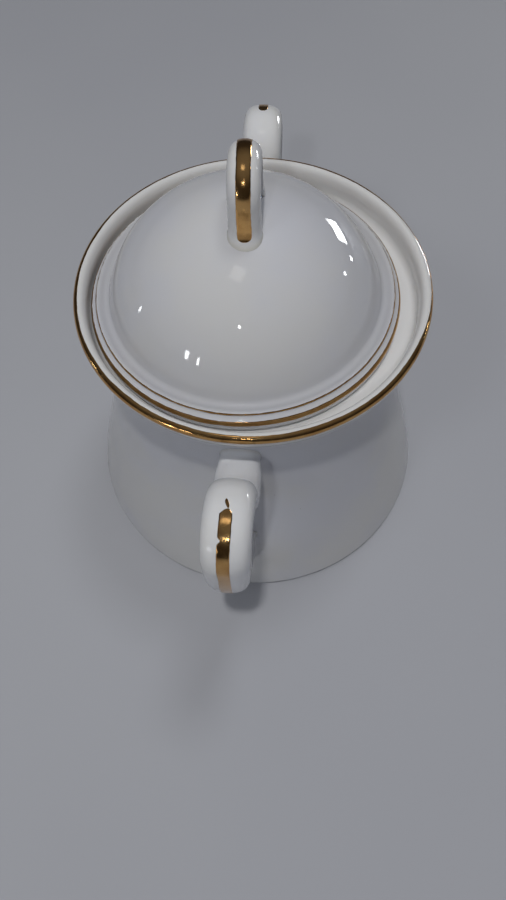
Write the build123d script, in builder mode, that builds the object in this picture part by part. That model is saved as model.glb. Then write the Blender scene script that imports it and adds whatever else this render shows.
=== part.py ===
from build123d import *
import math
import os

# Porcelain sugar bowl: a bell-shaped body with a flared collar and two ear-shaped strap handles,
# and a sunk, domed lid with a loop knob. Gilded bands lie on the lip, the lid and the straps.
#
# Millimetres, +Z up. The origin is the centre of the foot, on the surface that the bowl stands
# on, and the handles lie along X. The lid lies loosely in its seat, so it rests a little to the
# -Y side and turned by a few degrees, as a lid does when a hand has put it down.

# ---------------------------------------------------------------- driving dimensions
lip_radius = 50.0            # outermost radius of the gilded lip
lip_height = 91.5            # height of the lip's widest circle
lip_round = 1.3              # outer rounding of the lip
wall = 3.8                   # wall thickness of the bowl
gilding = 0.3                # stand-in thickness of every gilded band

base_radius = 58.7           # widest radius of the wall, just above the foot
base_height = 3.0
bell_lean = 4.1              # how far the bell has drawn in at bell_height
bell_height = 21.4
neck_radius = 44.0           # waist below the collar
neck_height = 75.5
foot_radius = 55.2           # outside of the foot ring
foot_width = 3.6
foot_recess = 2.0            # depth of the recess inside the foot ring
belly_radius = 52.4          # inside of the wall where it starts to round into the floor
belly_height = 12.8

seat_height = 85.3           # ledge that the lid rests on
seat_radius = 44.6           # outer edge of the ledge
throat_radius = 40.3         # bore below the ledge
collar_inside = 46.5         # upright inner face of the collar
edge_round = 1.0             # rounding of the ledge's inner edge

lid_shift = -2.0             # the lid's rest place along Y
lid_turn = 1.5               # the lid's rest turn about its own axis, in degrees
lid_gap = 0.1                # clearance between the lid and its seat
lid_radius = 43.8            # outside of the lid's gilded edge
crest_radius = 41.5          # low crest round the flange, marked by a fine gilded line
dome_radius = 38.3           # where the dome meets the slightly dished flange
dome_foot = lip_height - 0.85
dome_top = lip_height + 27.0
lid_wall = 3.0
ring_radius = 37.9           # locating ring under the lid
ring_width = 2.4
ring_depth = 5.0
thread_width = 0.5           # width of the fine gilded line

strap_width = 12.2           # handle strap, half-round outside and flat inside
strap_thickness = 6.5
strap_corner = 1.25          # rounding of the flat side's corners
strut_height = 73.35         # middle line of the level strut out of the neck
strut_end = 51.25
bend_radius = 7.95           # bend from the strut up into the arch
arch_radius = 9.3            # middle line of the arch over the top
side_radius = 99.5           # long outer side of the ear
side_angle = 26.0
heel_radius = 11.5           # turn at the bottom of the ear, back to the wall
heel_angle = 52.0
heel_run = 9.5               # straight end that reaches the wall
stripe_width = 3.0           # gilded stripe on each handle
stripe_heel = 30.0           # how far round the heel the stripe runs, in degrees

knob_width = 7.9             # knob loop, with a section like the handles'
knob_thickness = 4.4
knob_corner = 0.8
knob_radius = 8.8            # middle line of the loop
knob_height = lip_height + 34.0
knob_shift = 1.1             # how far the knob sits off the lid's axis
knob_depth = 6.0             # how far the loop's feet start below the dome's top
knob_stripe_width = 3.4
knob_stripe_low = lip_height + 27.5

BOWL_AXIS = Axis((0, 0, 0), (0, 0, 1))
LID_AXIS = Axis((0, lid_shift, 0), (0, 0, 1))
TURN = math.radians(lid_turn)
LID_SECTION = Plane(
    origin=(0, lid_shift, 0),
    x_dir=(math.cos(TURN), math.sin(TURN), 0),
    z_dir=(math.sin(TURN), -math.cos(TURN), 0),
)
KNOB_SECTION = LID_SECTION.offset(-knob_shift)

# ---------------------------------------------------------------- bowl body
lip_core = lip_radius - gilding            # outermost radius of the porcelain under the gold
lip_centre = lip_core - lip_round
lip_crest = (lip_centre, lip_height + lip_round)
lip_side = (lip_core, lip_height)
foot_inner = foot_radius - foot_width
floor_top = foot_recess + wall
throat_foot = neck_radius - wall
cove = collar_inside - seat_radius

# the wall outside, from the foot's corner over the bell and the waist to the flared collar
corner_start = (foot_radius, 0.8)
bell_start = (base_radius, base_height)
waist = (neck_radius, neck_height)
collar_low = (lip_core - 0.3, lip_height - 2.6)


def draw_bell():
    """Outer line of the wall, from the foot's corner over the waist to the collar's lower edge."""
    Bezier(corner_start, (base_radius - 0.4, 1.4), (base_radius + 0.3, 1.6), bell_start)
    Bezier(bell_start, (base_radius - bell_lean, bell_height), (neck_radius, 50.3), waist)
    Bezier(waist, (neck_radius, neck_height + 6.5), (lip_core - 1.2, lip_height - 6.0), collar_low)


with BuildPart() as bowl_body:
    with BuildSketch(Plane.YZ):
        with BuildLine():
            Polyline((0, floor_top), (0, foot_recess), (foot_inner - 1.2, foot_recess), (foot_inner, 0))
            Polyline((foot_inner, 0), (foot_radius, 0), corner_start)
            draw_bell()
            Line(collar_low, lip_side)
            RadiusArc(lip_side, lip_crest, -lip_round)
            Bezier(
                lip_crest,
                (lip_centre - 1.4, lip_height + lip_round),
                (collar_inside, lip_height - 0.2),
                (collar_inside, lip_height - 2.5),
            )
            Line((collar_inside, lip_height - 2.5), (collar_inside, seat_height + cove))
            RadiusArc((collar_inside, seat_height + cove), (seat_radius, seat_height), cove)
            Line((seat_radius, seat_height), (throat_radius + edge_round, seat_height))
            RadiusArc(
                (throat_radius + edge_round, seat_height),
                (throat_radius, seat_height - edge_round),
                -edge_round,
            )
            Line((throat_radius, seat_height - edge_round), (throat_foot, neck_height))
            Bezier(
                (throat_foot, neck_height),
                (throat_foot, 52.0),
                (belly_radius - 3.2, belly_height + 12.0),
                (belly_radius, belly_height),
            )
            Bezier(
                (belly_radius, belly_height),
                (belly_radius + 1.2, belly_height - 4.5),
                (belly_radius - 1.0, floor_top),
                (belly_radius - 6.0, floor_top),
            )
            Line((belly_radius - 6.0, floor_top), (0, floor_top))
        make_face()
    revolve(axis=BOWL_AXIS)

# the bowl's outer form as one closed block, which trims the handles to the wall
with BuildPart() as bowl_block:
    with BuildSketch(Plane.YZ):
        with BuildLine():
            Polyline((0, collar_low[1]), (0, 0), (foot_radius, 0), corner_start)
            draw_bell()
            Line(collar_low, (0, collar_low[1]))
        make_face()
    revolve(axis=BOWL_AXIS)

# ---------------------------------------------------------------- lip gilding
with BuildPart() as lip_gilding:
    with BuildSketch(Plane.YZ):
        with BuildLine():
            RadiusArc(lip_side, lip_crest, -lip_round)
            offset(amount=gilding, side=Side.RIGHT, closed=True)
        make_face()
    revolve(axis=BOWL_AXIS)

# ---------------------------------------------------------------- straps
# The handles and the knob are straps of one kind of section: half-round outside, flat inside.
def strap_plane(path, side):
    """Plane of a strap's section at the start of its path, with +Y towards the strap's outside."""
    return Plane(origin=path @ 0, x_dir=-side.z_dir, z_dir=path % 0)


def draw_strap(width, thickness, corner):
    """Outline of a strap's section, its outside at +Y."""
    low = corner - thickness / 2
    EllipticalCenterArc((0, low), width / 2, thickness - corner, arc_size=180)
    RadiusArc((-width / 2, low), (corner - width / 2, low - corner), -corner)
    Line((corner - width / 2, low - corner), (width / 2 - corner, low - corner))
    RadiusArc((width / 2 - corner, low - corner), (width / 2, low), -corner)


def draw_stripe(width, thickness, corner, stripe):
    """Section of the gilded stripe that lies on the crown of a strap."""
    crown = thickness - corner
    with Locations((0, corner - thickness / 2)):
        Ellipse(width / 2 + gilding, crown + gilding)
        Ellipse(width / 2, crown, mode=Mode.SUBTRACT)
    with Locations((0, thickness / 2)):
        Rectangle(stripe, thickness / 2, mode=Mode.INTERSECT)


# ---------------------------------------------------------------- handles
# Each handle leaves the neck as a level strut, bends up into a tight arch at the lip's height,
# and runs down a long side and round a heel back to the wall, like the outline of an ear.
strut_start = neck_radius - 2.5
arch_x = strut_end + bend_radius + arch_radius
arch_z = strut_height + bend_radius


def draw_ear(heel):
    """The long side of the ear and heel degrees of its lower turn, from the arch downwards."""
    ear_side = JernArc((arch_x + arch_radius, arch_z), (0, -1), side_radius, -side_angle)
    return JernArc(ear_side @ 1, ear_side % 1, heel_radius, -heel)


with BuildLine() as ear_line:
    Line((strut_start, strut_height), (strut_end, strut_height))
    CenterArc((strut_end, arch_z), bend_radius, 270, 90)
    CenterArc((arch_x, arch_z), arch_radius, 180, -180)
    ear_heel = draw_ear(heel_angle)
    Line(ear_heel @ 1, ear_heel @ 1 + (ear_heel % 1) * heel_run)
ear_path = Plane.XZ.from_local_coords(ear_line.wire())

with BuildPart() as handle_right:
    with BuildSketch(strap_plane(ear_path, Plane.XZ)):
        with BuildLine():
            draw_strap(strap_width, strap_thickness, strap_corner)
        make_face()
    sweep(path=ear_path)
    add(bowl_block.part, mode=Mode.SUBTRACT)

with BuildPart() as handle_left:
    add(handle_right.part.mirror(Plane.YZ))

# ---------------------------------------------------------------- handle gilding
with BuildLine() as stripe_line:
    CenterArc((arch_x, arch_z), arch_radius, 90, -90)
    draw_ear(stripe_heel)
stripe_path = Plane.XZ.from_local_coords(stripe_line.wire())

with BuildPart() as handle_right_gilding:
    with BuildSketch(strap_plane(stripe_path, Plane.XZ)):
        draw_stripe(strap_width, strap_thickness, strap_corner, stripe_width)
    sweep(path=stripe_path)

with BuildPart() as handle_left_gilding:
    add(handle_right_gilding.part.mirror(Plane.YZ))

# ---------------------------------------------------------------- lid
# A domed shell with a dished flange, a stepped and gilded edge, and a locating ring below.
dome_rise = dome_top - dome_foot
dome_sphere = (dome_radius**2 + dome_rise**2) / (2 * dome_rise)
dome_centre = dome_top - dome_sphere
inner_sphere = dome_sphere - lid_wall
lid_bottom = seat_height + lid_gap
ring_inner = ring_radius - ring_width
ring_low = lid_bottom - ring_depth
hollow_foot = (ring_inner, dome_centre + math.sqrt(inner_sphere**2 - ring_inner**2))
dome_edge = (dome_radius, dome_foot)
crest = (crest_radius, lip_height)
edge_top = (42.6, lip_height - 2.0)
edge_side = (lid_radius - gilding, lip_height - 2.9)
edge_low = (lid_radius - gilding - 0.2, lip_height - 4.1)

with BuildPart() as lid_shell:
    with BuildSketch(LID_SECTION) as lid_section:
        with BuildLine():
            RadiusArc((0, dome_top), dome_edge, dome_sphere)
            Polyline(dome_edge, crest, edge_top)
            ThreePointArc(edge_top, edge_side, edge_low)
            Polyline(
                edge_low,
                (lid_radius - 1.0, lid_bottom),
                (ring_radius, lid_bottom),
                (ring_radius, ring_low),
                (ring_inner, ring_low),
                hollow_foot,
            )
            RadiusArc(hollow_foot, (0, dome_top - lid_wall), -inner_sphere)
            Line((0, dome_top - lid_wall), (0, dome_top))
        make_face()
        fillet(lid_section.vertices().group_by(Axis.Y)[0], radius=0.8)
    revolve(axis=LID_AXIS)

# ---------------------------------------------------------------- lid gilding
with BuildPart() as lid_edge_gilding:
    with BuildSketch(LID_SECTION):
        with BuildLine():
            ThreePointArc(edge_top, edge_side, edge_low)
            offset(amount=gilding, side=Side.LEFT, closed=True)
        make_face()
    revolve(axis=LID_AXIS)

with BuildPart() as lid_thread_gilding:
    with BuildSketch(LID_SECTION):
        with BuildLine():
            flange_line = Line(dome_edge, crest, mode=Mode.PRIVATE)
            add(flange_line.trim(1 - thread_width / flange_line.length, 1))
            offset(amount=gilding, side=Side.LEFT, closed=True)
        make_face()
    revolve(axis=LID_AXIS)

# ---------------------------------------------------------------- knob
# the dome's form as one closed block, which trims the feet of the loop
with BuildPart() as dome_block:
    with BuildSketch(LID_SECTION):
        with BuildLine():
            RadiusArc((0, dome_top), dome_edge, dome_sphere)
            Polyline(dome_edge, (0, dome_foot), (0, dome_top))
        make_face()
    revolve(axis=LID_AXIS)


def loop_path(foot):
    """Middle line of the knob's loop, with both of its legs ending at the height foot."""
    with BuildLine() as loop_line:
        Line((-knob_radius, foot), (-knob_radius, knob_height))
        CenterArc((0, knob_height), knob_radius, 180, -180)
        Line((knob_radius, knob_height), (knob_radius, foot))
    return KNOB_SECTION.from_local_coords(loop_line.wire())


knob_path = loop_path(dome_top - knob_depth)
knob_stripe_path = loop_path(knob_stripe_low)

with BuildPart() as lid_knob:
    with BuildSketch(strap_plane(knob_path, KNOB_SECTION)):
        with BuildLine():
            draw_strap(knob_width, knob_thickness, knob_corner)
        make_face()
    sweep(path=knob_path)
    add(dome_block.part, mode=Mode.SUBTRACT)

with BuildPart() as knob_gilding:
    with BuildSketch(strap_plane(knob_stripe_path, KNOB_SECTION)):
        draw_stripe(knob_width, knob_thickness, knob_corner, knob_stripe_width)
    sweep(path=knob_stripe_path)

# ---------------------------------------------------------------- files
pieces = {
    "bowl_body": bowl_body,
    "lip_gilding": lip_gilding,
    "handle_right": handle_right,
    "handle_left": handle_left,
    "handle_right_gilding": handle_right_gilding,
    "handle_left_gilding": handle_left_gilding,
    "lid_shell": lid_shell,
    "lid_edge_gilding": lid_edge_gilding,
    "lid_thread_gilding": lid_thread_gilding,
    "lid_knob": lid_knob,
    "knob_gilding": knob_gilding,
}
os.makedirs("parts", exist_ok=True)
for name, piece in pieces.items():
    piece.part.label = name
    export_step(piece.part, f"parts/{name}.step")
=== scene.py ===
import bmesh
import bpy
import math
from mathutils import Matrix, Vector, noise


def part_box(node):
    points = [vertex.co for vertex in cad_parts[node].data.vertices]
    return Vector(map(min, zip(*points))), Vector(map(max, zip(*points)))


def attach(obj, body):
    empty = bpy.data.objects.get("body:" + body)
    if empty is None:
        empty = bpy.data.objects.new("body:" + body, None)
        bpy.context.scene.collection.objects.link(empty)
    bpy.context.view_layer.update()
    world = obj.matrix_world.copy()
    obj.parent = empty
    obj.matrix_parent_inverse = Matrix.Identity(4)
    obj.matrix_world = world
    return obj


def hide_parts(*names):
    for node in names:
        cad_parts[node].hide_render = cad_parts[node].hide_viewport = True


# Porcelain sugar bowl: bell-shaped body, two ear-shaped strap handles, a domed lid with a loop
# knob, and worn gilding on the lip, the lid and the straps.
# Lengths are in millimetres until a mesh is made. Handles lie along X, and +Z is up.

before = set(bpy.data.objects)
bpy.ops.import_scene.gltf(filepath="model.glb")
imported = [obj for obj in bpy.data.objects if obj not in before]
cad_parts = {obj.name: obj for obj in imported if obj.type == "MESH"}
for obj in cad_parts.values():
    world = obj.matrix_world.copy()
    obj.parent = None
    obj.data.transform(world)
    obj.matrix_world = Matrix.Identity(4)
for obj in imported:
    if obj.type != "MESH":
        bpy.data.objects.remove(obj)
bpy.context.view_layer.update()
MM = 0.001


def corners(node):
    """Lowest and highest corner of a CAD node, in millimetres."""
    low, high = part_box(node)
    return low / MM, high / MM


# ---------------------------------------------------------------- driving dimensions
lip_low, lip_high = corners("lip_gilding")
body_high = corners("bowl_body")[1]
lid_low, lid_high = corners("lid_shell")
edge_low, edge_high = corners("lid_edge_gilding")
knob_low, knob_high = corners("knob_gilding")

lip_radius = lip_high.x
lip_height = lip_low.z
base_radius = body_high.x
lid_axis = (lid_low + lid_high) / 2
lid_radius = (edge_high.x - edge_low.x) / 2
dome_top = lid_high.z
knob_axis = (knob_low + knob_high) / 2
lid_turn = math.radians(1.5)

lip_round = 1.55             # outer rounding of the lip
wall = 3.8
neck_radius = lip_radius - 6.0
neck_height = lip_height - 16.0
foot_radius = base_radius - 3.5
foot_hollow = 2.0            # how far the underside stands off the table
foot_round = 0.8
foot_bare = 0.9              # the standing ring has no glaze below here
bell_lean = 4.1              # how far the bell has drawn in at bell_height
bell_height = 21.4
waist_pull = 50.3            # height of the outside curve's handle under the waist
inner_pull = 52.0            # height of the inside curve's handle under the waist
belly_pull = 12.0            # height of that curve's other handle above the belly
belly_radius = lip_radius + 2.4
belly_height = 12.8
throat_radius = lip_radius - 9.7
throat_round = 1.0
seat_height = lip_height - 6.2
seat_round = 1.9
collar_inside = lip_radius - 3.5
collar_light_start = 80.0          # painted light: the collar's glaze is painted lighter from here
collar_light_full = 86.0           # to here
gold_lift = 0.05             # how far the gilding stands above the glaze
gold_root = -0.12            # how far its underside lies in the glaze

crest_radius = lip_radius - 8.5      # crest of the lid's flange, marked by a fine gilded line
dome_radius = lip_radius - 11.7      # where the dome meets the dished flange
dome_wall = 3.0
dome_foot = lip_height - 0.85
ring_radius = lip_radius - 12.1      # outside of the locating ring in the throat
ring_width = 2.4
ring_depth = 5.0
ring_round = 0.9
ring_fillet = 0.4
lid_bottom = seat_height + 0.1
lid_edge_round = 1.5

strap_width = 12.2
strap_thickness = 6.5
strap_corner = 1.25          # depth of the strap's flat inner side
strap_bulge = 2.7            # squareness of the outer side: 2 is half an ellipse
strut_height = 73.35
strut_end = 51.25
bend_radius = 7.95
arch_radius = 9.3
side_radius = 99.5
side_angle = 26.0
heel_radius = 11.5
heel_angle = 52.0
heel_run = 11.0              # from the heel's turn into the wall
strut_root = neck_radius - 2.5
handle_stripe = 3.1
stripe_heel_turn = 30.0      # how far the stripe follows the heel's turn
lean_shift = 0.6             # the right handle was luted on askew: its sideways shift,
lean_start = 48.0            # how it leans outwards from here,
lean_slope = 0.033
lean_drop = 81.0             # and how it leans below here
lean_drop_slope = 0.03
left_shift = 1.2             # sideways shift of the left handle

knob_width = 7.9
knob_thickness = 4.4
knob_corner = 0.8
knob_bulge = 2.2
knob_stripe = 3.4
loop_radius = 7.3            # middle line of the loop's arch
loop_foot_radius = 8.0       # bend by which the loop's feet spread
loop_foot_turn = 30.0
loop_foot_run = 3.5          # from that bend into the dome
loop_foot_height = dome_top + 2.6
loop_stripe_turn = 27.0      # how far the stripe follows the bend

ROUND_STEPS = 320            # steps round the bowl and the lid
SECTION_STEPS = 56           # steps round a strap's section
STRIPE_STEPS = 10            # steps across a strap's stripe


# ---------------------------------------------------------------- outlines
def bezier(controls, steps):
    """Points on a cubic curve, without its first point."""
    a, b, c, d = [Vector(control) for control in controls]
    points = []
    for i in range(1, steps + 1):
        t = i / steps
        s = 1 - t
        points.append(a * s**3 + b * 3 * s * s * t + c * 3 * s * t * t + d * t**3)
    return points


def arc(centre, radius, start, end, steps):
    """Points on an arc between two angles in degrees."""
    points = []
    for i in range(steps + 1):
        angle = math.radians(start + (end - start) * i / steps)
        spoke = Vector((math.cos(angle), math.sin(angle)))
        points.append(Vector(centre) + radius * spoke)
    return points


def run(start, end, steps):
    """Points on a straight line, without its first point."""
    a, b = Vector(start), Vector(end)
    return [a.lerp(b, i / steps) for i in range(1, steps + 1)]


def trace(start, heading, moves, step=0.4):
    """Points and directions along moves: ("run", length) or ("turn", radius, degrees)."""
    place = Vector(start)
    angle = math.radians(heading)
    stations = [(place.copy(), angle)]
    for move in moves:
        turn = math.radians(move[2]) if move[0] == "turn" else 0.0
        length = move[1] * abs(turn) if turn else move[1]
        steps = max(2, round(length / step))
        for _ in range(steps):
            middle = angle + turn / steps / 2
            chord = length / steps
            if turn:
                chord = 2 * move[1] * math.sin(abs(turn) / steps / 2)
            place = place + Vector((math.cos(middle), math.sin(middle))) * chord
            angle += turn / steps
            stations.append((place.copy(), angle))
    return stations


# ---------------------------------------------------------------- meshes
def make_piece(name, vertices, faces, material, body, nodes):
    """Smooth-shaded piece from millimetre points, riding on a body in place of CAD nodes."""
    mesh = bpy.data.meshes.new(name)
    mesh.from_pydata([Vector(vertex) * MM for vertex in vertices], [], faces)
    solid = bmesh.new()
    solid.from_mesh(mesh)
    bmesh.ops.recalc_face_normals(solid, faces=solid.faces)
    solid.to_mesh(mesh)
    solid.free()
    mesh.shade_smooth()
    mesh.materials.append(material)
    piece = bpy.data.objects.new(name, mesh)
    bpy.context.collection.objects.link(piece)
    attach(piece, body)
    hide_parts(*nodes)
    return piece


def paint(piece, attribute, values):
    """Stores one number for each vertex, for the material to read."""
    layer = piece.data.attributes.new(attribute, "FLOAT", "POINT")
    layer.data.foreach_set("value", values)


def turned(outline, place):
    """Vertices and faces of a closed outline, from axis to axis, turned about the vertical."""
    vertices = [place(outline[0], 0.0)]
    for point in outline[1:-1]:
        for j in range(ROUND_STEPS):
            vertices.append(place(point, 2 * math.pi * j / ROUND_STEPS))
    vertices.append(place(outline[-1], 0.0))
    rings = len(outline) - 2
    last = len(vertices) - 1
    faces = []
    for j in range(ROUND_STEPS):
        k = (j + 1) % ROUND_STEPS
        faces.append((0, 1 + k, 1 + j))
        for i in range(rings - 1):
            low = 1 + i * ROUND_STEPS
            high = low + ROUND_STEPS
            faces.append((low + j, low + k, high + k, high + j))
        top = 1 + (rings - 1) * ROUND_STEPS
        faces.append((top + j, top + k, last))
    return vertices, faces


def shell(rows, looped):
    """Closed thin shell: each row holds the upper points and then the lower points back again."""
    count = len(rows[0])
    vertices = [point for row in rows for point in row]
    faces = []
    for i in range(len(rows) if looped else len(rows) - 1):
        k = (i + 1) % len(rows)
        for j in range(count):
            m = (j + 1) % count
            faces.append((i * count + j, k * count + j, k * count + m, i * count + m))
    if not looped:
        faces.append(tuple(range(count)))
        end = (len(rows) - 1) * count
        faces.append(tuple(end + j for j in reversed(range(count))))
    return vertices, faces


def ragged(seed, place, coarse, fine):
    """Uneven hand-painted edge: a slow wander and a fine tremble, about -1 to 1."""
    slow = noise.noise(Vector((place * coarse, seed, 0.3)))
    quick = noise.noise(Vector((place * fine, seed, 7.7)))
    return slow * 1.2 + quick * 0.5


# ---------------------------------------------------------------- places
def on_bowl(point, angle):
    """Point of the bowl's outline at an angle, with the slight warp that firing leaves."""
    height = max(0.0, min(1.0, point[1] / lip_height))
    warp = (0.10 * math.sin(2 * angle + 0.7) + 0.05 * math.sin(3 * angle + 2.1)) * height**2
    radius = point[0] + warp * min(1.0, point[0] / neck_radius)
    return (radius * math.cos(angle), radius * math.sin(angle), point[1])


def on_lid(point, angle):
    """Point of the lid's outline at an angle, about the lid's own axis, slightly warped."""
    warp = 0.07 * math.sin(2 * angle + 2.4) * min(1.0, point[0] / crest_radius)
    sag = 0.06 * math.sin(3 * angle + 0.4) * min(1.0, point[0] / crest_radius)
    radius = point[0] + warp
    lean = -0.35 * max(0.0, min(1.0, (point[1] - lip_height) / 10.0))
    x = lid_axis.x + radius * math.cos(angle)
    y = lid_axis.y + lean + radius * math.sin(angle)
    return (x, y, point[1] + sag)


# ---------------------------------------------------------------- materials
class Paint:
    """A new material and short ways to add nodes to it."""

    def __init__(self, name):
        self.material = bpy.data.materials.new(name)
        self.material.use_nodes = True
        self.tree = self.material.node_tree
        self.shader = self.tree.nodes["Principled BSDF"]
        self.place = self.add("ShaderNodeTexCoord").outputs["Object"]

    def add(self, kind):
        return self.tree.nodes.new(kind)

    def link(self, source, target):
        self.tree.links.new(source, target)

    def feed(self, value, socket):
        if isinstance(value, bpy.types.NodeSocket):
            self.link(value, socket)
        else:
            socket.default_value = value

    def noise(self, scale, detail=2.0, roughness=0.5, stretch=None):
        node = self.add("ShaderNodeTexNoise")
        node.inputs["Scale"].default_value = scale
        node.inputs["Detail"].default_value = detail
        node.inputs["Roughness"].default_value = roughness
        source = self.place
        if stretch:
            mapping = self.add("ShaderNodeMapping")
            mapping.inputs["Scale"].default_value = stretch
            self.link(self.place, mapping.inputs["Vector"])
            source = mapping.outputs["Vector"]
        self.link(source, node.inputs["Vector"])
        return node.outputs["Fac"]

    def maths(self, operation, first, second):
        node = self.add("ShaderNodeMath")
        node.operation = operation
        self.feed(first, node.inputs[0])
        self.feed(second, node.inputs[1])
        return node.outputs[0]

    def spread(self, source, low, high, new_low=0.0, new_high=1.0):
        node = self.add("ShaderNodeMapRange")
        node.interpolation_type = "SMOOTHSTEP"
        self.link(source, node.inputs["Value"])
        node.inputs["From Min"].default_value = low
        node.inputs["From Max"].default_value = high
        node.inputs["To Min"].default_value = new_low
        node.inputs["To Max"].default_value = new_high
        return node.outputs["Result"]

    def mix(self, factor, first, second):
        node = self.add("ShaderNodeMix")
        node.data_type = "RGBA"
        self.feed(factor, node.inputs["Factor"])
        self.feed(first, node.inputs["A"])
        self.feed(second, node.inputs["B"])
        return node.outputs["Result"]

    def attribute(self, name):
        node = self.add("ShaderNodeAttribute")
        node.attribute_name = name
        return node.outputs["Fac"]

    def specks(self, scale, size, rarity):
        """Rare round specks: 1 inside a speck, 0 elsewhere."""
        cells = self.add("ShaderNodeTexVoronoi")
        cells.inputs["Scale"].default_value = scale
        self.link(self.place, cells.inputs["Vector"])
        near = self.spread(cells.outputs["Distance"], size, size * 0.6)
        chance = self.add("ShaderNodeSeparateColor")
        self.link(cells.outputs["Color"], chance.inputs["Color"])
        chosen = self.maths("GREATER_THAN", chance.outputs[0], 1 - rarity)
        return self.maths("MULTIPLY", near, chosen)

    def bump(self, height, distance, strength, under=None):
        node = self.add("ShaderNodeBump")
        node.inputs["Distance"].default_value = distance
        node.inputs["Strength"].default_value = strength
        self.link(height, node.inputs["Height"])
        if under:
            self.link(under, node.inputs["Normal"])
        return node.outputs["Normal"]


def rgb(red, green, blue):
    return (red, green, blue, 1.0)


LID_COOL = rgb(0.66, 0.67, 0.72)
LID_WARM = rgb(0.69, 0.69, 0.695)
# Painted shade: the body's glaze is the lid's porcelain painted darker.
BODY_SHADED_COOL = rgb(0.62, 0.63, 0.68)
BODY_SHADED_WARM = rgb(0.65, 0.65, 0.65)
# Painted light: the collar inside the lip is painted whiter than the body.
COLLAR_PAINTED_LIGHT = rgb(0.76, 0.755, 0.75)
# Painted light: the straps' and the knob's glaze is the same porcelain painted lighter.
STRAP_LIT_COOL = rgb(0.80, 0.81, 0.84)
STRAP_LIT_WARM = rgb(0.83, 0.825, 0.80)
# Darker glaze for pooled glaze and painted shade in creases, roots and the lid's seat.
POOL_AND_SHADE_WARM = rgb(0.56, 0.54, 0.47)
# Painted shade for the lid's dished flange.
DISH_SHADE_GREY = rgb(0.44, 0.44, 0.465)
BISQUE = rgb(0.60, 0.56, 0.50)
IRON = rgb(0.16, 0.12, 0.09)
GOLD_LIGHT = rgb(0.70, 0.42, 0.16)
GOLD_DEEP = rgb(0.54, 0.29, 0.10)
GOLD_WORN = rgb(0.30, 0.16, 0.08)
TABLE_DARK = rgb(0.455, 0.465, 0.505)
TABLE_LIGHT = rgb(0.49, 0.50, 0.535)


def glaze(name, cool, warm, pool_and_shade_colour, bowl=False):
    """Clear glaze, painted darker for pooled glaze and shade; a bowl's has a collar painted
    lighter as painted light and leaves its foot bare.
    """
    paint_box = Paint(name)
    cloud = paint_box.noise(22.0, 3.0, 0.55)
    colour = paint_box.mix(paint_box.spread(cloud, 0.35, 0.65), cool, warm)
    # Darker where pooled glaze and painted shade are painted.
    pool_and_shade = paint_box.attribute("pool_and_shade")
    colour = paint_box.mix(pool_and_shade, colour, pool_and_shade_colour)
    iron = paint_box.specks(240.0, 0.055, 0.035)
    colour = paint_box.mix(paint_box.maths("MULTIPLY", iron, 0.6), colour, IRON)
    smear = paint_box.noise(60.0, 4.0, 0.6, (1.0, 1.0, 0.35))
    gloss = paint_box.spread(smear, 0.3, 0.8, 0.03, 0.09)
    if bowl:
        # Painted light: the collar is painted whiter towards the lip.
        height = paint_box.add("ShaderNodeSeparateXYZ")
        paint_box.link(paint_box.place, height.inputs[0])
        collar = paint_box.spread(height.outputs["Z"], collar_light_start * MM, collar_light_full * MM)
        colour = paint_box.mix(collar, colour, COLLAR_PAINTED_LIGHT)
        bare = paint_box.spread(height.outputs["Z"], foot_bare * MM, (foot_bare - 0.4) * MM)
        grit = paint_box.noise(1500.0, 3.0, 0.7)
        bisque = paint_box.mix(paint_box.spread(grit, 0.3, 0.7), BISQUE, LID_WARM)
        colour = paint_box.mix(bare, colour, bisque)
        gloss = paint_box.mix(bare, gloss, rgb(0.75, 0.75, 0.75))
    paint_box.link(colour, paint_box.shader.inputs["Base Color"])
    paint_box.feed(gloss, paint_box.shader.inputs["Roughness"])
    peel = paint_box.noise(110.0, 2.0, 0.4)
    pits = paint_box.maths("SUBTRACT", 1.0, paint_box.specks(700.0, 0.12, 0.02))
    normal = paint_box.bump(peel, 0.0004, 0.10)
    normal = paint_box.bump(pits, 0.0001, 0.3, normal)
    paint_box.link(normal, paint_box.shader.inputs["Normal"])
    paint_box.shader.inputs["IOR"].default_value = 1.52
    paint_box.shader.inputs["Subsurface Weight"].default_value = 0.12
    paint_box.shader.inputs["Subsurface Radius"].default_value = (1.0, 0.9, 0.75)
    paint_box.shader.inputs["Subsurface Scale"].default_value = 0.002
    return paint_box.material


def gilding(name, wear):
    """Burnished gold, rubbed thin along its edges by wear, from 0 to 1."""
    paint_box = Paint(name)
    cloud = paint_box.noise(160.0, 4.0, 0.6)
    colour = paint_box.mix(paint_box.spread(cloud, 0.35, 0.7), GOLD_LIGHT, GOLD_DEEP)
    rim = paint_box.attribute("rim")
    rub = paint_box.noise(420.0, 5.0, 0.65)
    rubbed = paint_box.maths("ADD", paint_box.maths("MULTIPLY", rim, 0.45), rub)
    thin = 1.12 - 0.3 * wear
    worn = paint_box.spread(rubbed, thin - 0.12, thin)
    bare = paint_box.spread(rubbed, thin, thin + 0.08)
    colour = paint_box.mix(worn, colour, GOLD_WORN)
    colour = paint_box.mix(bare, colour, LID_WARM)
    paint_box.link(colour, paint_box.shader.inputs["Base Color"])
    paint_box.link(paint_box.maths("SUBTRACT", 1.0, bare), paint_box.shader.inputs["Metallic"])
    scratches = paint_box.noise(900.0, 4.0, 0.7, (1.0, 1.0, 0.15))
    gloss = paint_box.spread(scratches, 0.3, 0.75, 0.10, 0.24)
    paint_box.link(gloss, paint_box.shader.inputs["Roughness"])
    normal = paint_box.bump(scratches, 0.00004, 0.15)
    paint_box.link(paint_box.bump(cloud, 0.0002, 0.08, normal), paint_box.shader.inputs["Normal"])
    return paint_box.material


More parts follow.
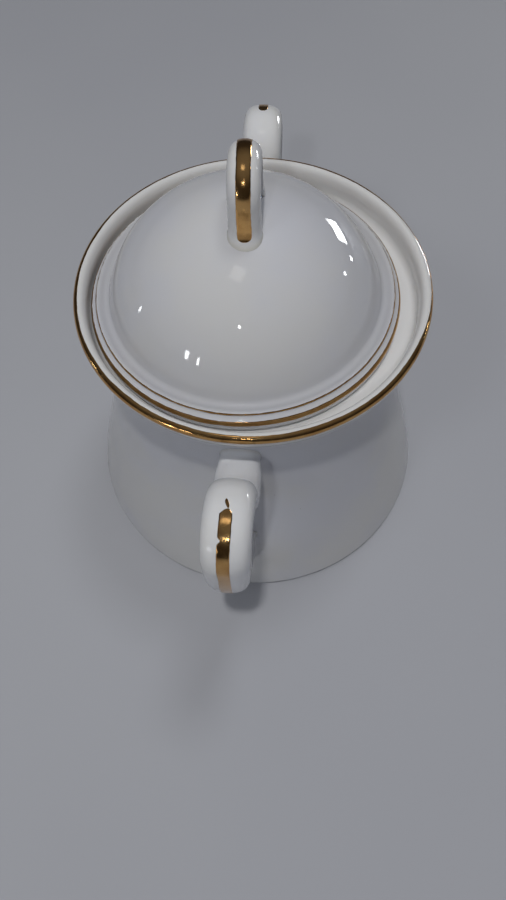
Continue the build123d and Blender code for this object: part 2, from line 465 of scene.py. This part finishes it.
body_glaze_shaded_collar_lit = glaze("body_glaze_shaded_collar_lit", BODY_SHADED_COOL, BODY_SHADED_WARM, POOL_AND_SHADE_WARM, bowl=True)
lid_glaze = glaze("lid_glaze", LID_COOL, LID_WARM, DISH_SHADE_GREY)
strap_glaze_lit = glaze("strap_glaze_lit", STRAP_LIT_COOL, STRAP_LIT_WARM, POOL_AND_SHADE_WARM)
lip_gold = gilding("lip_gold_leaf", 0.35)
lid_gold = gilding("lid_gold_leaf", 0.55)
thread_gold = gilding("thread_gold_leaf", 0.8)
strap_gold = gilding("strap_gold_leaf", 0.25)

# ---------------------------------------------------------------- bowl body
lip_centre = (lip_radius - gold_lift - lip_round, lip_height)
collar_low = (lip_radius - 0.6, lip_height - 2.6)
waist = (neck_radius, neck_height)
bell_start = (base_radius, 3.0)
foot_corner = (foot_radius, foot_round)
floor_top = foot_hollow + wall
inner_neck = neck_radius - wall


def wall_outside():
    """The wall from the foot's outer corner over the bell and the waist to the collar."""
    foot_curve = (foot_corner, (base_radius - 0.4, 1.2), (base_radius + 0.3, 1.6), bell_start)
    bell_end = (base_radius - bell_lean, bell_height)
    bell_curve = (bell_start, bell_end, (neck_radius, waist_pull), waist)
    flare_end = (lip_radius - 1.5, lip_height - 6.0)
    flare_curve = (waist, (neck_radius, neck_height + 6.5), flare_end, collar_low)
    return bezier(foot_curve, 10) + bezier(bell_curve, 60) + bezier(flare_curve, 24)


def foot_line():
    """The underside from the axis to the standing ring's outer corner."""
    hollow = (foot_radius - 5.2, foot_hollow)
    slope = ((foot_radius - 4.0, foot_hollow), (foot_radius - 4.1, 0.0))
    standing = (foot_radius - 3.0, 0.0)
    points = [Vector((0, foot_hollow))] + run((0, foot_hollow), hollow, 12)
    points += bezier((hollow, *slope, standing), 8)
    points += run(standing, (foot_radius - foot_round, 0.0), 3)
    return points + arc((foot_radius - foot_round, foot_round), foot_round, -80, -10, 5)


def lip_line():
    """The lip from the collar's outside over its rim and down to the seat."""
    rim_x = lip_centre[0] + lip_round
    under = (rim_x - 0.30, lip_height - 1.9)
    tuck = ((collar_low[0] + 0.1, lip_height - 2.4), (under[0], lip_height - 2.2))
    swell = ((under[0] + 0.15, lip_height - 1.2), (rim_x, lip_height - 0.7))
    points = bezier((collar_low, *tuck, under), 4)
    points += bezier((under, *swell, (rim_x, lip_height)), 6)
    points += arc(lip_centre, lip_round, 5, 90, 16)
    crest = (lip_centre[0], lip_height + lip_round)
    collar_top = (collar_inside, lip_height - 2.4)
    collar_foot = (collar_inside, seat_height + seat_round)
    brow = ((crest[0] - 1.2, crest[1]), (collar_inside, lip_height - 0.1))
    points += bezier((crest, *brow, collar_top), 14)
    points += run(collar_top, collar_foot, 6)
    return points + arc((collar_inside - seat_round, collar_foot[1]), seat_round, -8, -90, 8)


def inside_line():
    """The inside from the lid's seat down the throat and the belly to the axis."""
    seat_start = (collar_inside - seat_round, seat_height)
    seat_end = throat_radius + throat_round
    throat_top = seat_height - throat_round
    points = run(seat_start, (seat_end, seat_height), 4)
    points += arc((seat_end, throat_top), throat_round, 100, 180, 7)
    points += run((throat_radius, throat_top), (inner_neck, neck_height), 8)
    belly = (belly_radius, belly_height)
    floor_edge = (belly_radius - 6.0, floor_top)
    drop = ((inner_neck, inner_pull), (belly_radius - 3.2, belly_height + belly_pull))
    heel = ((belly_radius + 1.2, belly_height - 4.5), (belly_radius - 1.0, floor_top))
    points += bezier(((inner_neck, neck_height), *drop, belly), 48)
    points += bezier((belly, *heel, floor_edge), 12)
    return points + run(floor_edge, (0, floor_top), 14)


def bowl_outline():
    """The whole outline, from the underside's middle round the lip to the floor's middle."""
    return foot_line() + wall_outside() + lip_line() + inside_line()


def pool_and_shade_depth(x, y, z):
    """How much the glaze is painted darker, from 0 to 1: pooled glaze and painted shade in the
    crease under the lip's rim, and painted shade with a warm tint of the gold's reflected light in
    the lid's seat.
    """
    radius = math.hypot(x, y)
    if radius > collar_inside + 1.5:
        return 0.6 * math.exp(-(((z - (lip_height - 2.2)) / 0.5) ** 2))
    if z < seat_height - 2.0:
        return 0.0
    return 0.2 * max(0.0, min(1.0, (lip_height - 1.0 - z) / 4.5))


vertices, faces = turned(bowl_outline(), on_bowl)
bowl = make_piece(
    "bowl_porcelain", vertices, faces, body_glaze_shaded_collar_lit, "bowl", ["bowl_body"]
)
paint(bowl, "pool_and_shade", [pool_and_shade_depth(*vertex) for vertex in vertices])


# ---------------------------------------------------------------- gilding on round edges
def gold_ring(name, curve, edges, place, material, body, node, across=14):
    """Gilded ring: curve(t) gives a point and its normal, edges(angle) the two ends of t."""
    rows = []
    rims = []
    for j in range(ROUND_STEPS * 2):
        angle = math.pi * j / ROUND_STEPS
        start, end = edges(angle)
        upper, lower = [], []
        for i in range(across + 1):
            t = start + (end - start) * i / across
            point, normal = curve(t)
            upper.append(place(point + normal * gold_lift, angle))
            lower.append(place(point + normal * gold_root, angle))
            rims.append(abs(2 * i / across - 1) ** 3)
        rows.append(upper + lower[::-1])
        rims += [1.0] * (across + 1)
    vertices, faces = shell(rows, True)
    piece = make_piece(name, vertices, faces, material, body, [node])
    paint(piece, "rim", rims)


def lip_curve(degrees):
    """Point and normal of the lip's rounding, degrees up from its widest place."""
    turn = math.radians(degrees)
    direction = Vector((math.cos(turn), math.sin(turn)))
    return Vector(lip_centre) + direction * lip_round, direction


def lip_edges(angle):
    """Both edges of the lip's gold, in degrees of its rounding, with one side rubbed thin."""
    rubbed = math.exp(-(((math.degrees(angle) - 103.0) / 24.0) ** 2))
    low = -14.0 + 6.0 * ragged(1.0, angle, 3.0, 21.0)
    high = 82.0 - 40.0 * rubbed + 6.0 * ragged(2.0, angle, 4.0, 25.0)
    return low, high


gold_ring("lip_gold", lip_curve, lip_edges, on_bowl, lip_gold, "bowl", "lip_gilding")


# ---------------------------------------------------------------- straps
def strap_section(theta, width, thickness, corner, bulge):
    """Crowned outside at +v, nearly flat inside at -v."""
    low = corner - thickness / 2
    power = 2 / (bulge if math.sin(theta) >= 0 else 4.0)
    u = math.copysign(abs(math.cos(theta)) ** power, math.cos(theta))
    v = abs(math.sin(theta)) ** power
    depth = thickness - corner if math.sin(theta) >= 0 else -corner
    return width / 2 * u, low + depth * v


def crown(u, width, thickness, corner, bulge):
    """Height of the strap's outside above its middle line, at u across it."""
    side = max(0.0, 1 - abs(2 * u / width) ** bulge)
    return corner - thickness / 2 + (thickness - corner) * side ** (1 / bulge)


def strap(name, stations, sizes, place, flare, body, node):
    """Closed strap along stations; flare(point) pushes it outwards where it is luted on."""
    rows = []
    pool_and_shade_values = []
    for i, (centre, heading) in enumerate(stations):
        section = sizes(i / (len(stations) - 1))
        out = Vector((-math.sin(heading), math.cos(heading)))
        row = []
        for j in range(SECTION_STEPS):
            u, v = strap_section(2 * math.pi * j / SECTION_STEPS, *section)
            reach = math.hypot(u, v)
            spread, pool_and_shade = flare(place(centre + out * v, u))
            u += u / reach * spread
            v += v / reach * spread
            row.append(place(centre + out * v, u))
            pool_and_shade_values.append(pool_and_shade)
        rows.append(row)
    vertices, faces = shell(rows, False)
    piece = make_piece(name, vertices, faces, strap_glaze_lit, body, [node])
    paint(piece, "pool_and_shade", pool_and_shade_values)


def chipped(along, chip, left, right):
    """Edges of a stripe whose first chip millimetres are rubbed down to a curved sliver."""
    if along < chip:
        shift = 0.35 * math.cos(2.8 * along / chip)
        sliver = 0.03 + 0.42 * math.sin(math.pi * along / chip) ** 0.7
        return shift - sliver, shift + sliver
    grown = min(1.0, 0.12 + (along - chip) / 1.1)
    nick = 0.7 * math.exp(-(((along - 3.9 * chip) / 0.45) ** 2))
    return left * (0.3 + 0.7 * grown), right * grown - nick


def strap_stripe(name, stations, sizes, place, width, body, node, seed, chip=0.0):
    """Gilded stripe along the crown of a strap; chip is the length of a rubbed-off first end."""
    rows = []
    rims = []
    count = len(stations) - 1
    length = sum((stations[i + 1][0] - stations[i][0]).length for i in range(count))
    for i, (centre, heading) in enumerate(stations):
        part = i / count
        section = sizes(part)
        out = Vector((-math.sin(heading), math.cos(heading)))
        along = part * length
        end_gap = min(along, length - along)
        from_end = max(0.0, 1 - (end_gap + 0.05) / (width / 2))
        half = width / 2 * math.sqrt(max(0.0, 1 - from_end**2))
        left = -half * (1 + 0.10 * ragged(seed, along, 0.12, 0.9))
        right = half * (1 + 0.10 * ragged(seed + 3, along, 0.12, 0.9))
        if chip:
            left, right = chipped(along, chip, left, right)
        upper, lower = [], []
        for j in range(STRIPE_STEPS + 1):
            u = left + (right - left) * j / STRIPE_STEPS
            height = crown(u, *section)
            upper.append(place(centre + out * (height + gold_lift), u))
            lower.append(place(centre + out * (height + gold_root), u))
            edge = abs(2 * j / STRIPE_STEPS - 1) ** 3
            rims.append(max(edge, 1 - min(1.0, end_gap / width)))
        rows.append(upper + lower[::-1])
        rims += [1.0] * (STRIPE_STEPS + 1)
    vertices, faces = shell(rows, False)
    piece = make_piece(name, vertices, faces, strap_gold, body, [node])
    paint(piece, "rim", rims)


# ---------------------------------------------------------------- handles
wall_points = wall_outside()


def wall_radius(height):
    """Radius of the bowl's outside at a height."""
    for low, high in zip(wall_points, wall_points[1:]):
        if low[1] <= height <= high[1]:
            return low[0] + (high[0] - low[0]) * (height - low[1]) / (high[1] - low[1])
    return wall_points[0][0] if height < wall_points[0][1] else wall_points[-1][0]


def handle_flare(point):
    """Slip that fills the corner between strap and wall, and the darker glaze painted there for
    pooled glaze and painted shade.
    """
    gap = max(0.0, math.hypot(point[0], point[1]) - wall_radius(point[2]))
    return 0.4 * math.exp(-gap / 0.5), 0.5 * math.exp(-((gap / 0.6) ** 2))


def handle_sizes(part):
    """Width, thickness, corner and bulge of the strap, part of the way along it."""
    root = max(0.0, 1 - part / 0.065)
    tail = max(0.0, (part - 0.5) / 0.5)
    swell = math.exp(-(((part - 0.11) / 0.06) ** 2))
    width = strap_width + 0.3 + 0.5 * swell - 2.1 * root - 1.3 * tail
    return width, strap_thickness - 0.4 * tail, strap_corner, strap_bulge


ear_moves = [
    ("run", strut_end - strut_root),
    ("turn", bend_radius, 90),
    ("turn", arch_radius, -180),
    ("turn", side_radius, -side_angle),
    ("turn", heel_radius, -heel_angle),
    ("run", heel_run),
]
ear = trace((strut_root, strut_height), 0, ear_moves)
arch_x = strut_end + bend_radius + arch_radius
arch_top = strut_height + bend_radius + arch_radius


def stripe_path(lead):
    """The handle's stripe, starting lead degrees before the top of the arch."""
    back = math.radians(lead)
    start_x = arch_x - arch_radius * math.sin(back)
    start_z = arch_top - arch_radius * (1 - math.cos(back))
    moves = [
        ("turn", arch_radius, -90 - lead),
        ("turn", side_radius, -side_angle),
        ("turn", heel_radius, -stripe_heel_turn),
    ]
    return trace((start_x, start_z), lead, moves, 0.2)


def stripe_sizes(part):
    """Sizes of the strap under its stripe, which covers about half of its length."""
    return handle_sizes(0.36 + 0.5 * part)


def on_right(point, u):
    """Point of the right handle, u across its strap, with the handle's sideways lean."""
    lean = -lean_shift - lean_slope * (point[0] - lean_start)
    lean -= lean_drop_slope * max(0.0, lean_drop - point[1])
    return (point[0], lean - u, point[1])


def on_left(point, u):
    """Point of the left handle, which is the right one turned about the vertical."""
    return (-point[0], u - left_shift, point[1])


def handle(side, place, seed, lead, chip):
    """A handle and its stripe, which starts lead degrees before the top of the arch."""
    node = f"handle_{side}"
    strap(f"{node}_porcelain", ear, handle_sizes, place, handle_flare, "bowl", node)
    strap_stripe(
        f"{node}_gold",
        stripe_path(lead),
        stripe_sizes,
        place,
        handle_stripe,
        "bowl",
        f"{node}_gilding",
        seed,
        chip,
    )


handle("right", on_right, seed=11.0, lead=13.0, chip=2.0)
handle("left", on_left, seed=17.0, lead=-6.0, chip=0.0)

# ---------------------------------------------------------------- lid
dome_rise = dome_top - dome_foot
dome_sphere = (dome_radius**2 + dome_rise**2) / (2 * dome_rise)
dome_centre = dome_top - dome_sphere
dome_angle = math.degrees(math.acos(dome_radius / dome_sphere))
flange_end = (crest_radius - 0.6, lip_height - 0.15)
crest_line = (
    flange_end,
    (crest_radius - 0.1, lip_height + 0.05),
    (crest_radius + 0.25, lip_height - 0.15),
    (crest_radius + 0.4, lip_height - 0.85),
)
shoulder = (lid_radius - 0.95, lip_height - 1.75)
shoulder_end = (lid_radius - 0.22, lip_height - 3.2)
shoulder_line = (
    shoulder,
    (shoulder[0] + 0.4, shoulder[1] - 0.15),
    (shoulder_end[0] - 0.05, shoulder_end[1] + 0.7),
    shoulder_end,
)


def curve_point(controls, t):
    """Point and outward normal of a cubic curve that runs outwards and down."""
    a, b, c, d = [Vector(control) for control in controls]
    s = 1 - t
    point = a * s**3 + b * 3 * s * s * t + c * 3 * s * t * t + d * t**3
    slope = (b - a) * 3 * s * s + (c - b) * 6 * s * t + (d - c) * 3 * t * t
    return point, Vector((-slope.y, slope.x)).normalized()


def crest_curve(t):
    """The flange's crest, where the fine gilded line lies, with its normal; t from 0 to 1."""
    return curve_point(crest_line, t)


def edge_curve(t):
    """The lid's gilded shoulder, with its normal; t from 0 to 1."""
    return curve_point(shoulder_line, t)


def lid_underside():
    """From the top of the dome's inside down round the locating ring and out to the edge."""
    inner = dome_sphere - dome_wall
    ring_inner = ring_radius - ring_width
    inner_angle = math.degrees(math.acos(ring_inner / inner))
    round_height = lid_bottom - ring_depth + ring_round
    points = arc((0, dome_centre), inner, 90, inner_angle, 30)
    points += run(points[-1], (ring_inner, round_height), 4)
    points += arc((ring_inner + ring_round, round_height), ring_round, 185, 265, 5)
    points += arc((ring_radius - ring_round, round_height), ring_round, 270, 355, 5)
    points += run((ring_radius, round_height), (ring_radius, lid_bottom - ring_fillet), 4)
    points += arc((ring_radius + ring_fillet, lid_bottom - ring_fillet), ring_fillet, 175, 95, 3)
    side_low = (lid_radius - lid_edge_round, lid_bottom)
    points += run((ring_radius + ring_fillet, lid_bottom), side_low, 4)
    side = ((lid_radius - 0.8, lid_bottom), (lid_radius - 0.2, lid_bottom + 1.2))
    return points + bezier((side_low, *side, shoulder_end), 10)


def lid_top():
    """From the edge over the gilded shoulder, the crest and the dish to the dome's top."""
    points = [edge_curve(1 - i / 10)[0] for i in range(1, 11)]
    points += run(shoulder, crest_line[3], 3)
    points += [crest_curve(1 - i / 8)[0] for i in range(1, 9)]
    dish_start = Vector((dome_radius + 1.3, dome_foot + 0.12))
    dish = ((crest_radius - 1.0, lip_height - 0.25), dish_start + Vector((0.6, 0.12)))
    points += bezier((flange_end, *dish, dish_start), 6)
    dome = arc((0, dome_centre), dome_sphere, dome_angle + 1.6, 90, 76)
    toe = dome[0] + (dome[0] - dome[1]).normalized() * 0.8
    points += bezier((dish_start, dish_start + Vector((-0.8, -0.2)), toe, dome[0]), 9)
    return points + dome[1:]


vertices, faces = turned(lid_underside() + lid_top(), on_lid)
lid = make_piece("lid_porcelain", vertices, faces, lid_glaze, "lid", ["lid_shell"])
# Painted shade: the glaze is painted darker and greyer across the dished flange.
dish_middle = (dome_radius + crest_radius) / 2
lid_reach = [math.hypot(x - lid_axis.x, y - lid_axis.y) for x, y, z in vertices]
paint(lid, "pool_and_shade", [0.7 * math.exp(-(((reach - dish_middle) / 1.9) ** 2)) for reach in lid_reach])


def thread_edges(angle):
    """Both edges of the fine line, as parts of the crest's curve."""
    low = 0.52 + 0.06 * ragged(5.0, angle, 5.0, 30.0)
    high = 0.86 + 0.06 * ragged(6.0, angle, 6.0, 34.0)
    return low, high


def band_edges(angle):
    """Both edges of the lid's band, as parts of the shoulder's curve."""
    low = 0.06 + 0.06 * ragged(7.0, angle, 4.0, 26.0)
    high = 0.90 + 0.07 * ragged(8.0, angle, 5.0, 31.0)
    return low, high


gold_ring(
    "lid_thread_gold",
    crest_curve,
    thread_edges,
    on_lid,
    thread_gold,
    "lid",
    "lid_thread_gilding",
    across=6,
)
gold_ring("lid_edge_gold", edge_curve, band_edges, on_lid, lid_gold, "lid", "lid_edge_gilding")

# ---------------------------------------------------------------- knob
along_knob = Vector((math.cos(lid_turn), math.sin(lid_turn)))
across_knob = Vector((-math.sin(lid_turn), math.cos(lid_turn)))


def on_knob(point, u):
    """Point of the loop, u across its strap, turned with the lid."""
    place = along_knob * -point[0] + across_knob * u
    return (knob_axis.x + place.x, knob_axis.y + place.y, point[1])


def knob_flare(point):
    """Slip round the feet of the loop, where they stand on the dome, and the darker glaze painted
    there for pooled glaze and painted shade.
    """
    away = Vector(point) - Vector((lid_axis.x, lid_axis.y, dome_centre))
    gap = max(0.0, away.length - dome_sphere)
    return 0.3 * math.exp(-gap / 0.4), 0.6 * math.exp(-((gap / 0.6) ** 2))


def knob_sizes(part):
    """Width, thickness, corner and bulge of the loop, a little wider at its feet."""
    foot = abs(2 * part - 1) ** 3
    return knob_width + 0.7 * foot, knob_thickness, knob_corner, knob_bulge


loop_centre = knob_high.z - knob_thickness / 2 - loop_radius
loop_leg = loop_centre - loop_foot_height


def loop_path(run_in, turn_in, step):
    """The loop from foot to foot, with turn_in degrees of each foot's bend and run_in below it."""
    bend = math.radians(turn_in)
    spread = loop_foot_radius * (1 - math.cos(bend)) + run_in * math.sin(bend)
    drop = loop_foot_radius * math.sin(bend) + run_in * math.cos(bend)
    foot_bend = ("turn", loop_foot_radius, turn_in)
    leg = ("run", loop_leg)
    moves = [foot_bend, leg, ("turn", loop_radius, -180), leg, foot_bend]
    if run_in:
        moves = [("run", run_in)] + moves + [("run", run_in)]
    return trace((-loop_radius - spread, loop_foot_height - drop), 90 - turn_in, moves, step)


loop = loop_path(loop_foot_run, loop_foot_turn, 0.3)
loop_stripe = loop_path(0.0, loop_stripe_turn, 0.2)
strap("knob_porcelain", loop, knob_sizes, on_knob, knob_flare, "lid", "lid_knob")
strap_stripe(
    "knob_gold", loop_stripe, knob_sizes, on_knob, knob_stripe, "lid", "knob_gilding", seed=23.0
)

# ---------------------------------------------------------------- table
TABLE_HALF = 4.0             # metres
table_paint = Paint("table_top")
haze = table_paint.spread(table_paint.noise(3.0, 3.0, 0.5), 0.3, 0.7)
table_colour = table_paint.mix(haze, TABLE_DARK, TABLE_LIGHT)
table_paint.link(table_colour, table_paint.shader.inputs["Base Color"])
grain = table_paint.noise(900.0, 3.0, 0.6)
dullness = table_paint.spread(grain, 0.3, 0.7, 0.62, 0.74)
table_paint.link(dullness, table_paint.shader.inputs["Roughness"])
table_paint.shader.inputs["Specular IOR Level"].default_value = 0.25
table_paint.link(table_paint.bump(grain, 0.0001, 0.1), table_paint.shader.inputs["Normal"])
mesh = bpy.data.meshes.new("table_top")
table_signs = ((-1, -1), (1, -1), (1, 1), (-1, 1))
table_corners = [(x * TABLE_HALF, y * TABLE_HALF, 0) for x, y in table_signs]
mesh.from_pydata(table_corners, [], [(0, 1, 2, 3)])
mesh.materials.append(table_paint.material)
table_top = bpy.data.objects.new("table_top", mesh)
bpy.context.collection.objects.link(table_top)

# ---------------------------------------------------------------- light
lip_point = Vector((0, 0, lip_height)) * MM


def bearing(azimuth, elevation):
    """Unit vector towards an azimuth and an elevation in degrees."""
    a, e = math.radians(azimuth), math.radians(elevation)
    return Vector((math.cos(e) * math.cos(a), math.cos(e) * math.sin(a), math.sin(e)))


def panel(name, azimuth, elevation, distance, width, height, power, colour, mirrored=False):
    """Rectangular light that faces the bowl and lights it, or with mirrored is only reflected."""
    light = bpy.data.lights.new(name, "AREA")
    light.shape = "RECTANGLE"
    light.size = width
    light.size_y = height
    light.energy = power
    light.color = colour
    lamp = bpy.data.objects.new(name, light)
    direction = bearing(azimuth, elevation)
    lamp.location = lip_point + direction * distance
    lamp.rotation_euler = (-direction).to_track_quat("-Z", "Y").to_euler()
    lamp.visible_glossy = mirrored
    lamp.visible_diffuse = not mirrored
    lamp.visible_camera = False
    bpy.context.collection.objects.link(lamp)


WARM = (1.0, 0.98, 0.95)
COOL = (0.94, 0.97, 1.0)
panel("key", -4, 77, 1.4, 0.06, 0.06, 6.2, WARM)
panel("overhead", 150, 72, 1.5, 0.30, 0.30, 2.9, COOL)
panel("near_side", -40, 50, 1.5, 0.25, 0.25, 1.3, COOL)
panel("lamp", -8, 44, 1.4, 0.06, 0.06, 1.8, COOL)
panel("skylight", -24, 81, 1.2, 0.22, 0.22, 0.20, WARM, mirrored=True)
panel("lamp_glint", -1, 42.5, 1.4, 0.05, 0.05, 0.45, COOL, mirrored=True)
panel("window", 140, 3, 1.3, 0.28, 0.18, 4.0, COOL, mirrored=True)
panel("door", 126, 0, 1.3, 0.05, 0.05, 0.2, COOL, mirrored=True)
panel("back_window", 113, 9, 1.3, 0.05, 0.06, 0.25, COOL, mirrored=True)
panel("side_window", -40, 9, 1.4, 0.06, 0.16, 1.0, COOL, mirrored=True)
panel("side_blind", -31, 8, 1.4, 0.04, 0.16, 0.6, COOL, mirrored=True)
panel("far_gap", -88, 3, 1.4, 0.04, 0.10, 0.2, COOL, mirrored=True)

world = bpy.data.worlds.new("room")
bpy.context.scene.world = world
world.use_nodes = True
sky = world.node_tree
background = sky.nodes["Background"]
direction = sky.nodes.new("ShaderNodeTexCoord")
split = sky.nodes.new("ShaderNodeSeparateXYZ")
sky.links.new(direction.outputs["Generated"], split.inputs[0])
ramp = sky.nodes.new("ShaderNodeValToRGB")
ramp.color_ramp.elements[0].position = 0.05
ramp.color_ramp.elements[0].color = (0.03, 0.028, 0.028, 1)
ramp.color_ramp.elements[1].position = 0.95
ramp.color_ramp.elements[1].color = (0.16, 0.165, 0.18, 1)
middle = ramp.color_ramp.elements.new(0.5)
middle.color = (0.04, 0.039, 0.042, 1)
sky.links.new(split.outputs["Z"], ramp.inputs["Fac"])
sky.links.new(ramp.outputs["Color"], background.inputs["Color"])
background.inputs["Strength"].default_value = 1.0

# ---------------------------------------------------------------- camera
EYE = Vector((2.594, 0.241, 3.057))      # from the lip's centre, in lip radii
AIM = Vector((1.033, 0.0734, 0.0))
ROLL = math.radians(-2.6)
IMAGE_HEIGHT = 900
FOCAL_PIXELS = 700
SENSOR = 36.0

view = bpy.data.cameras.new("photo_view")
view.sensor_width = SENSOR
view.lens = SENSOR * FOCAL_PIXELS / IMAGE_HEIGHT
view.clip_start = 0.01
camera = bpy.data.objects.new("photo_view", view)
bpy.context.collection.objects.link(camera)
gaze = (AIM - EYE).to_track_quat("-Z", "Y").to_matrix().to_4x4()
stand = Matrix.Translation(lip_point + EYE * lip_radius * MM)
camera.matrix_world = stand @ gaze @ Matrix.Rotation(ROLL, 4, "Z")
bpy.context.scene.camera = camera
bpy.context.scene.view_settings.view_transform = "Standard"
